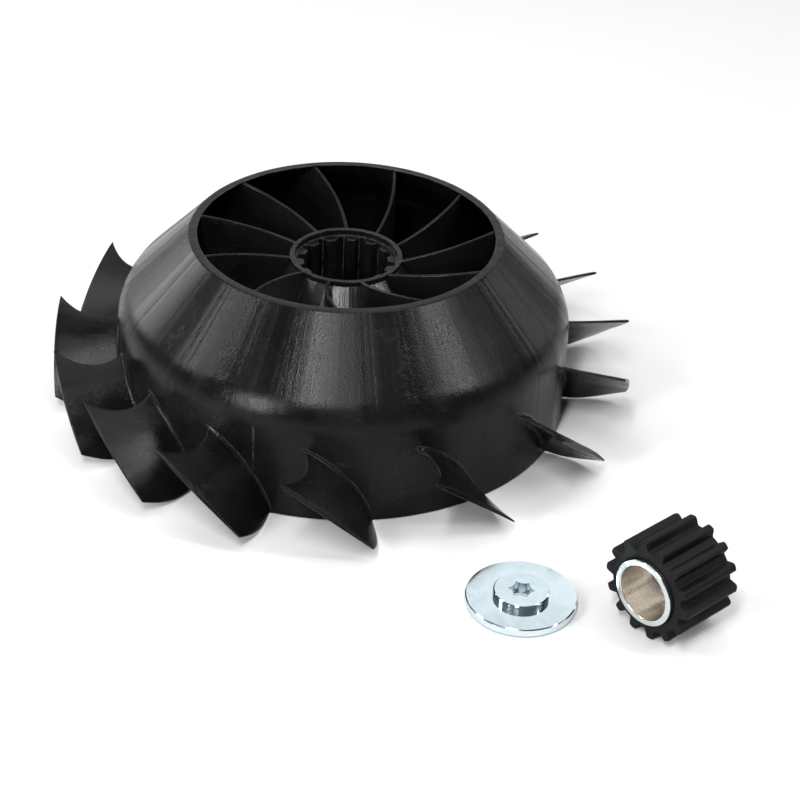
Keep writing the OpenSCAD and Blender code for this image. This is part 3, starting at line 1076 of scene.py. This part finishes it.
@dataclass
class ClampWasher:
    """The clamp washer: a bevelled disc, a low boss and a bolt hole with six flutes."""

    centre: tuple[float, float]
    disc_r: float
    disc_t: float = 4.0 * MM
    boss_r: float = 12.3 * MM
    boss_h: float = 2.9 * MM
    boss_bevel: float = 0.55 * MM
    hole_r: float = 4.2 * MM
    lobe_tip_r: float = 4.35 * MM
    flute_r: float = 5.6 * MM
    flutes: int = 6
    flute_floor: float = math.radians(8.0)
    plain_h: float = 1.8 * MM
    first_lobe: float = math.radians(23.0)
    bevel: float = 0.5 * MM
    rounding: float = 0.10 * MM

    @classmethod
    def from_frame(cls) -> "ClampWasher":
        """Reads the washer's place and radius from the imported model."""
        low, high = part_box("clamp_washer")
        return cls(centre=((low[0] + high[0]) / 2, (low[1] + high[1]) / 2),
                   disc_r=(high[0] - low[0]) / 2)

    def build(self, effects: Effects) -> bpy.types.Object:
        """Turns the washer, cuts its flutes and plates it."""
        top = self.disc_t + self.boss_h
        edge = self.bevel
        outline = [(self.hole_r, 0.0), (self.disc_r - edge, 0.0), (self.disc_r, edge),
                   (self.disc_r, self.disc_t - edge), (self.disc_r - edge, self.disc_t),
                   (self.boss_r, self.disc_t), (self.boss_r, top - self.boss_bevel),
                   (self.boss_r - self.boss_bevel, top), (self.hole_r, top)]
        washer = turned("washer_plate", outline, steps=192)
        cut(washer, self.flute_cutter(top))
        round_edges(washer, self.rounding, 2, math.radians(30))
        washer.location = (self.centre[0], self.centre[1], 0.0)
        settle(washer)
        close_seams(washer)
        smooth(washer, math.radians(30))
        finish = PlatedSteel("zinc_plate_bright", (0.66, 0.77, 0.82, 1.0), (0.44, 0.54, 0.60, 1.0),
                             0.08, 0.15, (self.centre[0], self.centre[1], 0.0))
        dress(washer, finish.material(effects))
        return washer

    def flute_cutter(self, top: float) -> bpy.types.Object:
        """Models the cutter of the flutes: a round bar with six lobes cut out of it."""
        lobe_angle = (FULL_TURN / self.flutes - self.flute_floor) / 2
        reach = self.flute_r * math.cos(lobe_angle)
        lobe_r = ((self.flute_r ** 2 + self.lobe_tip_r ** 2 - 2 * reach * self.lobe_tip_r)
                  / (2 * (reach - self.lobe_tip_r)))
        depth = top - self.plain_h + 2 * MM
        middle = top + 2 * MM - depth / 2
        deselect()
        bpy.ops.mesh.primitive_cylinder_add(vertices=96, radius=self.flute_r, depth=depth,
                                            location=(0.0, 0.0, middle))
        bar = named("flute_cutter")
        settle(bar)
        for index in range(self.flutes):
            turn = self.first_lobe + FULL_TURN * index / self.flutes
            away = self.lobe_tip_r + lobe_r
            deselect()
            bpy.ops.mesh.primitive_cylinder_add(
                vertices=96, radius=lobe_r, depth=depth + 2 * MM,
                location=(away * math.cos(turn), away * math.sin(turn), middle))
            cut(bar, named("lobe"))
        return bar


@dataclass
class CouplingBush:
    """The coupling bush: a toothed rubber ring bonded to a steel sleeve, lying on its side."""

    middle: Point
    axis: Point
    sleeve_len: float = 36.5 * MM
    bore_r: float = 12.5 * MM
    sleeve_r: float = 15.25 * MM
    bond: float = 0.05 * MM
    rubber_len: float = 32.0 * MM
    root_r: float = 19.25 * MM
    crest_r: float = 23.25 * MM
    teeth: int = 14
    root_w: float = 5.2 * MM
    crest_w: float = 3.2 * MM
    points_per_tooth: int = 28
    mouth_edge: float = 0.45 * MM
    rubber_edge: float = 0.5 * MM
    crown: float = 0.25 * MM
    ease: float = 0.55

    @classmethod
    def from_frame(cls) -> "CouplingBush":
        """Reads the bush's middle and axis from the joint that lets its rubber wind up."""
        joint = next(j for j in frame["record"]["behaviour"]["joints"] if j["name"] == "rubber_windup")
        return cls(middle=tuple(joint["pos_m"]), axis=tuple(joint["axis"]))

    def laid(self, piece: bpy.types.Object) -> bpy.types.Object:
        """Lays a piece that was modelled about the vertical axis into the bush's place."""
        piece.rotation_euler = (0.0, math.pi / 2, math.atan2(self.axis[1], self.axis[0]))
        piece.location = self.middle
        settle(piece)
        return piece

    def build_sleeve(self, effects: Effects) -> bpy.types.Object:
        """Turns the steel sleeve, with a bevelled mouth at each end."""
        half = self.sleeve_len / 2
        # The section starts halfway along the bore: from its corner, the bore wall stays open.
        outline = [(self.bore_r, 0.0), (self.bore_r, -half), (self.sleeve_r, -half),
                   (self.sleeve_r, half), (self.bore_r, half)]
        sleeve = round_edges(turned("steel_sleeve", outline, steps=160), self.mouth_edge)
        inside = [face.index for face in sleeve.data.polygons
                  if math.hypot(face.center.x, face.center.y) < self.bore_r + 0.1 * MM]
        self.laid(sleeve)
        turn = (0.0, math.pi / 2, math.atan2(self.axis[1], self.axis[0]))
        outside = PlatedSteel("sleeve_steel", (0.62, 0.67, 0.66, 1.0), (0.44, 0.48, 0.47, 1.0),
                              0.12, 0.26, self.middle, turn, 3200.0)
        bore = PlatedSteel("sleeve_bore_tint", (0.80, 0.755, 0.69, 1.0), (0.56, 0.49, 0.42, 1.0),
                           0.16, 0.32, self.middle, turn, 3200.0)
        dress(sleeve, outside.material(effects))
        sleeve.data.materials.append(bore.material(effects))
        for index in inside:
            sleeve.data.polygons[index].material_index = 1
        return sleeve

    def tooth_radius(self, turn: float) -> float:
        """Returns the outline's radius at an azimuth, with rounded crests and hollow roots."""
        pitch = FULL_TURN / self.teeth
        off = abs((turn / pitch) % 1.0 - 0.5) * pitch
        crest = math.asin(self.crest_w / 2 / self.crest_r)
        root = math.asin(self.root_w / 2 / self.root_r)
        share = clamp01((root - off) / (root - crest))
        eased = share * share * (3.0 - 2.0 * share)
        share = mix(share, eased, self.ease)
        crown = self.crown * clamp01(off / crest) ** 3
        return mix(self.root_r, self.crest_r - crown, share)

    def build_rubber(self, effects: Effects) -> bpy.types.Object:
        """Shapes a ring into the toothed outline and extrudes it along the bush."""
        count = self.teeth * self.points_per_tooth
        half = self.rubber_len / 2
        edge = self.rubber_edge
        deselect()
        bpy.ops.mesh.primitive_circle_add(vertices=count, radius=self.crest_r, fill_type="NOTHING",
                                          location=(0.0, 0.0, -half))
        rubber = named("toothed_rubber")
        settle(rubber)
        inner = self.sleeve_r + self.bond
        rings = [(-half, self.tooth_radius, -edge),
                 (-half + 0.4 * edge, self.tooth_radius, -0.35 * edge),
                 (-half + edge, self.tooth_radius, 0.0), (half - edge, self.tooth_radius, 0.0),
                 (half - 0.4 * edge, self.tooth_radius, -0.35 * edge), (half, self.tooth_radius, -edge),
                 (half, lambda turn: inner, edge), (half - edge, lambda turn: inner, 0.0),
                 (-half + edge, lambda turn: inner, 0.0), (-half, lambda turn: inner, edge)]
        for index, (z, radius, extra) in enumerate(rings):
            bpy.ops.object.mode_set(mode="EDIT")
            if index:
                bpy.ops.mesh.extrude_region_move()
            else:
                bpy.ops.mesh.select_all(action="SELECT")
            bpy.ops.object.mode_set(mode="OBJECT")
            for vertex in rubber.data.vertices:
                if vertex.select:
                    turn = math.atan2(vertex.co.y, vertex.co.x)
                    r = radius(turn) + extra
                    vertex.co = (r * math.cos(turn), r * math.sin(turn), z)
        bpy.ops.object.mode_set(mode="EDIT")
        bpy.ops.mesh.select_mode(type="EDGE")
        bpy.ops.mesh.select_all(action="DESELECT")
        bpy.ops.mesh.select_non_manifold(extend=False)
        bpy.ops.mesh.bridge_edge_loops()
        bpy.ops.mesh.select_mode(type="VERT")
        bpy.ops.object.mode_set(mode="OBJECT")
        close_seams(rubber)
        smooth(rubber, math.radians(35))
        dress(self.laid(rubber), MattRubber().material(effects))
        return rubber


# ---------------------------------------------------------------- studio


@dataclass
class Softbox:
    """A soft area light that points at the middle of the object."""

    name: str
    place: Point
    size: tuple[float, float]
    power: float
    aim: Point = (0.0, 0.0, 0.04)

    def hang(self) -> None:
        """Adds the light to the scene."""
        data = bpy.data.lights.new(self.name, "AREA")
        data.shape = "RECTANGLE"
        data.size, data.size_y = self.size
        data.energy = self.power
        lamp = bpy.data.objects.new(self.name, data)
        bpy.context.scene.collection.objects.link(lamp)
        lamp.location = self.place
        lamp.rotation_euler = (Vector(self.aim) - Vector(self.place)).to_track_quat("-Z", "Y").to_euler()


@dataclass
class Studio:
    """The pale floor, the soft lights and the camera."""

    camera_away: float = 1.05
    camera_fall: float = 0.574398
    camera_roll: float = 0.049289
    camera_right: float = 0.029243
    camera_up: float = -0.0030915
    lens: float = 94.487

    def build(self) -> None:
        """Sets up floor, surroundings, lights and camera."""
        self.lay_floor()
        self.light()
        self.place_camera()
        bpy.context.scene.view_settings.view_transform = "Standard"
        bpy.context.scene.view_settings.look = "None"

    def lay_floor(self) -> None:
        """Lays the plain pale floor."""
        deselect()
        bpy.ops.mesh.primitive_plane_add(size=12.0, location=(0.0, 0.0, -0.0002))
        floor = named("floor")
        settle(floor)
        made = bpy.data.materials.new("pale_floor")
        made.use_nodes = True
        graph = Graph(made.node_tree)
        skin = graph.add("BsdfPrincipled", Base_Color=(0.56, 0.56, 0.56, 1.0), Roughness=0.7,
                         Specular_IOR_Level=0.2)
        graph.add("OutputMaterial", Surface=skin.outputs[0])
        dress(floor, made)
        floor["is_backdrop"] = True

    def light(self) -> None:
        """Hangs the soft lights and sets the pale surroundings."""
        world = bpy.data.worlds.new("studio")
        bpy.context.scene.world = world
        world.use_nodes = True
        graph = Graph(world.node_tree)
        glow = graph.add("Background", Color=(1.0, 1.0, 1.0, 1.0), Strength=0.12)
        graph.add("OutputWorld", Surface=glow.outputs[0])
        lamps = (
            Softbox("overhead", (0.15, 0.25, 1.5), (1.7, 1.2), 15.0),
            Softbox("back_panel", (0.1, 1.7, 0.95), (2.6, 1.0), 9.0),
            Softbox("front_strip", (-0.17, -0.89, 1.18), (0.14, 0.62), 16.0),
            Softbox("left_strip", (-1.13, -0.15, 0.98), (0.12, 0.70), 9.0),
            Softbox("low_left_strip", (-0.90, -1.10, 0.54), (0.10, 0.60), 17.0),
            Softbox("right_strip", (1.04, -0.31, 1.05), (0.17, 0.70), 10.0),
            Softbox("right_back", (1.25, 0.75, 0.50), (0.30, 0.60), 2.2),
            Softbox("left_back", (-1.20, 0.85, 0.45), (0.60, 0.50), 8.0),
        )
        for lamp in lamps:
            lamp.hang()

    def place_camera(self) -> None:
        """Places the camera by its fall, its roll and its distance from the wheel."""
        fall, roll = self.camera_fall, self.camera_roll
        forward = Vector((0.0, math.cos(fall), -math.sin(fall)))
        level = Vector((1.0, 0.0, 0.0))
        upright = Vector((0.0, math.sin(fall), math.cos(fall)))
        right = math.cos(roll) * level + math.sin(roll) * upright
        up = -math.sin(roll) * level + math.cos(roll) * upright
        place = -self.camera_away * forward + self.camera_right * level + self.camera_up * upright
        data = bpy.data.cameras.new("camera")
        data.lens = self.lens
        data.sensor_width = 36.0
        data.clip_start = 0.05
        camera = bpy.data.objects.new("camera", data)
        bpy.context.scene.collection.objects.link(camera)
        turn = Matrix((right, up, -forward)).transposed().to_4x4()
        camera.matrix_world = Matrix.Translation(place) @ turn
        bpy.context.scene.camera = camera


def plain(corners: Iterable[Iterable[float]]) -> list[list[float]]:
    """Returns a box's corners as plain lists of numbers."""
    return [[float(value) for value in corner] for corner in corners]


def main() -> None:
    """Builds the object and its studio, in order."""
    logging.basicConfig(level=logging.INFO, format="%(message)s")
    packed = plain(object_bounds())
    effects = Effects()
    FanWheel(WheelSizes.from_frame()).build(effects)
    washer = ClampWasher.from_frame().build(effects)
    in_body(washer, Body.WASHER, Slot.ZINC, "clamp_washer")
    bush = CouplingBush.from_frame()
    in_body(bush.build_sleeve(effects), Body.SLEEVE, Slot.STEEL, "bush_sleeve")
    in_body(bush.build_rubber(effects), Body.RUBBER, Slot.RUBBER, "bush_rubber")
    Studio().build()
    {"packed": packed, "modelled": plain(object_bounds())}


if __name__ == "__main__":
    main()
